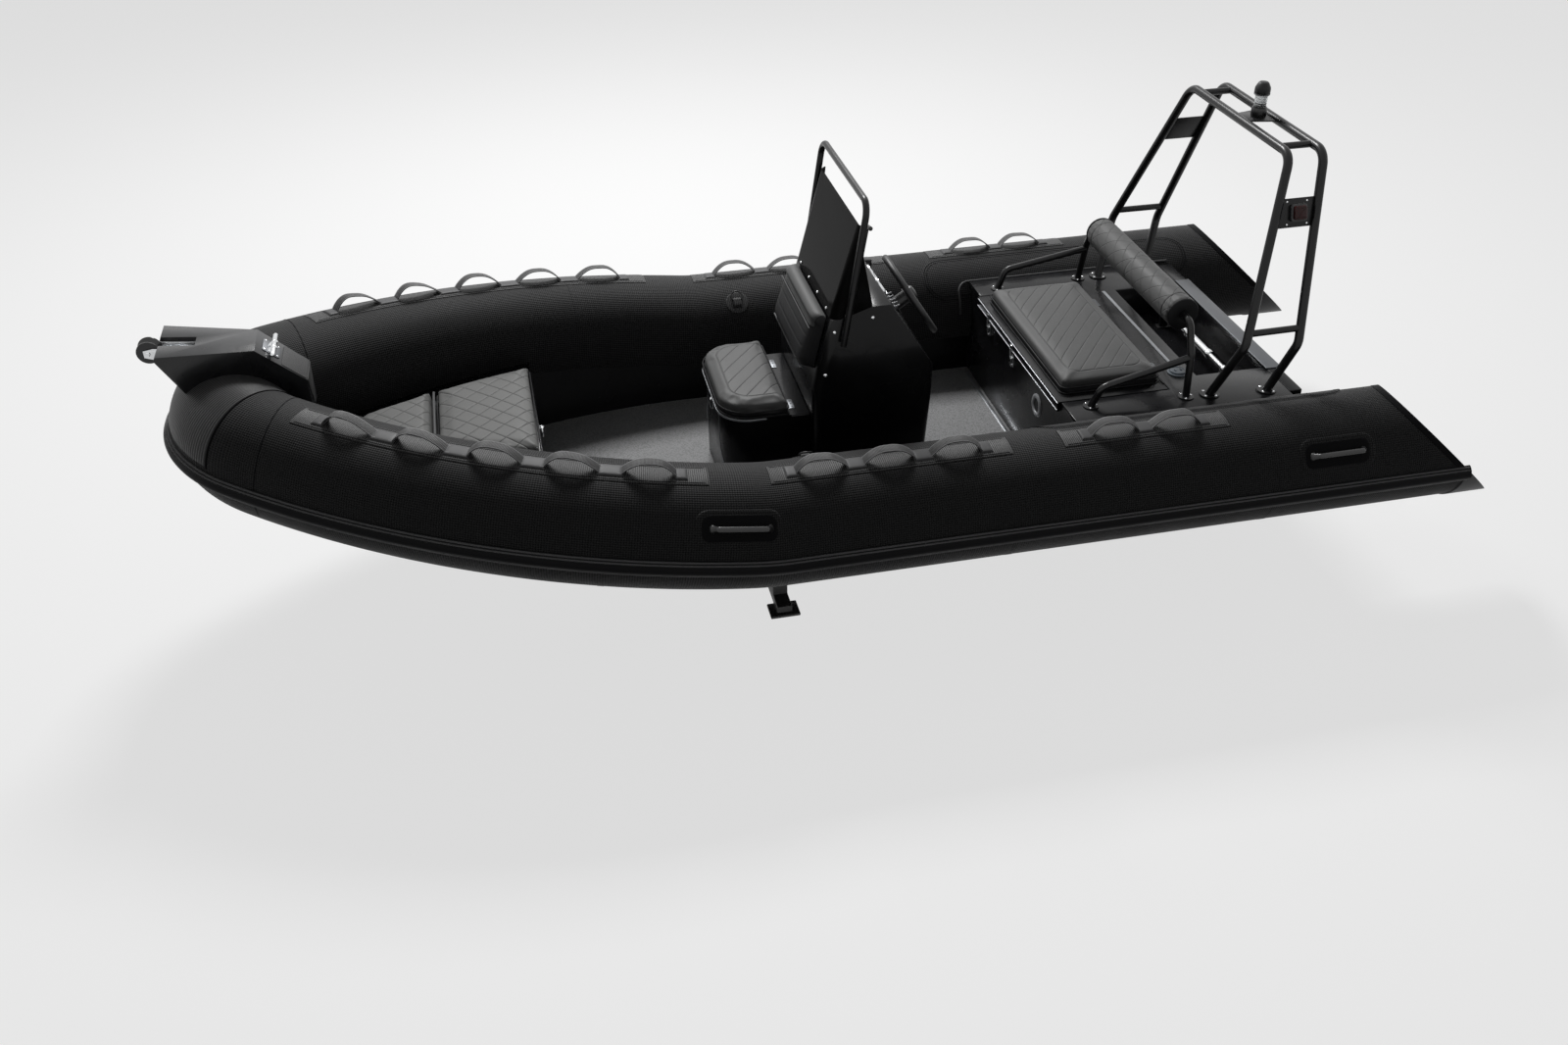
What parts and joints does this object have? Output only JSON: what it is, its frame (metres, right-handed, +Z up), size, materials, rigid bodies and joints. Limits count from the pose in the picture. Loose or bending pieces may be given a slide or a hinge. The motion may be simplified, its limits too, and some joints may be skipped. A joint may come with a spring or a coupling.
{
  "type": "rigid inflatable boat",
  "caption": "Rigid inflatable boat on its cradle: deep-V hull, inflatable tubes, helm console with screen, helm seat with backrest roll, light arch, bow lockers and an anchor roller.",
  "frame": {"origin": "on the ground under the middle of the boat's length and width, at the bottom of the cradle's feet", "axes": "+X to the bow, +Y to port, +Z up"},
  "size_m": [4.994, 2.112, 1.8],
  "materials": {
    "tube_fabric": "satin, embossed with a fine diagonal weave",
    "rubber_black": "satin moulded rubber",
    "tip_grey": "moulded tip",
    "patch_ribbed": "ribbed",
    "webbing": "ribbed webbing",
    "gelcoat_black": "glossy gelcoat",
    "nonslip_grey": "fine non-slip texture",
    "vinyl_grey": "satin vinyl, stitched",
    "vinyl_black": "satin vinyl",
    "metal_black": "satin black powder coat",
    "stainless": "polished",
    "smoked_acrylic": "smoked, clear",
    "lamp_black": "black housing",
    "wheel_black": "moulded grip",
    "filler_pale": "pale cap",
    "cradle_black": "black steel"
  },
  "bodies": {
    "boat": {"hull": "gelcoat_black", "transom": "gelcoat_black", "transom_cap": "stainless", "towing_eyes": "stainless", "cockpit_floor": "nonslip_grey", "helm_module": "gelcoat_black", "filler_cap": "filler_pale", "steering_ram": "stainless", "backrest_frame": "metal_black", "backrest_roll": "vinyl_grey", "tube_port": "tube_fabric", "tube_starboard": "tube_fabric", "tube_tips": "tip_grey", "rub_rail_port": "rubber_black", "rub_rail_starboard": "rubber_black", "nose_patch": "patch_ribbed", "strap_pads": "patch_ribbed", "strap_handles_port": "webbing", "strap_handles_starboard": "webbing", "side_handles": "rubber_black", "lashing_rings": "stainless", "light_arch": "metal_black", "arch_plates": "metal_black", "side_lights": "lamp_black", "all_round_light": "lamp_black", "console": "gelcoat_black", "windscreen": "smoked_acrylic", "console_rail": "metal_black", "console_backrest": "vinyl_grey", "steering_column": "metal_black", "throttle": "metal_black", "front_seat_base": "gelcoat_black", "bow_deck": "gelcoat_black", "bow_cushion_fore": "vinyl_grey", "bow_step": "gelcoat_black", "roller_bracket": "stainless", "mooring_cleat": "stainless", "latches": "stainless", "cradle": "cradle_black"},
    "steering_wheel": {"steering_wheel": "wheel_black"},
    "anchor_roller": {"anchor_roller": "rubber_black"},
    "helm_seat_lid": {"helm_seat_lid": "gelcoat_black", "helm_seat_cushion": "vinyl_grey"},
    "front_seat_lid": {"front_seat_lid": "gelcoat_black", "front_seat_cushion": "vinyl_grey"},
    "bow_locker_lid": {"bow_locker_lid": "gelcoat_black", "bow_cushion_aft": "vinyl_grey"}
  },
  "joints": [
    {"name": "steering", "type": "hinge", "parent": "boat", "child": "steering_wheel", "pos_m": [-0.37388, 0, 1.06727], "axis": [-0.8421, 0, 0.5394], "range_deg": [-540, 540]},
    {"name": "roller_spin", "type": "hinge", "parent": "boat", "child": "anchor_roller", "pos_m": [2.45498, 0, 1.16404], "axis": [0, 1, 0], "continuous": true},
    {"name": "helm_seat_lid_hinge", "type": "hinge", "parent": "boat", "child": "helm_seat_lid", "pos_m": [-1.29198, 0, 0.78], "axis": [0, -1, 0], "range_deg": [0, 68]},
    {"name": "front_seat_lid_hinge", "type": "hinge", "parent": "boat", "child": "front_seat_lid", "pos_m": [0.16702, 0, 0.7363], "axis": [0, -1, 0], "range_deg": [0, 75]},
    {"name": "bow_locker_lid_hinge", "type": "hinge", "parent": "boat", "child": "bow_locker_lid", "pos_m": [1.12698, 0, 0.6963], "axis": [0, -1, 0], "range_deg": [0, 95]}
  ]
}
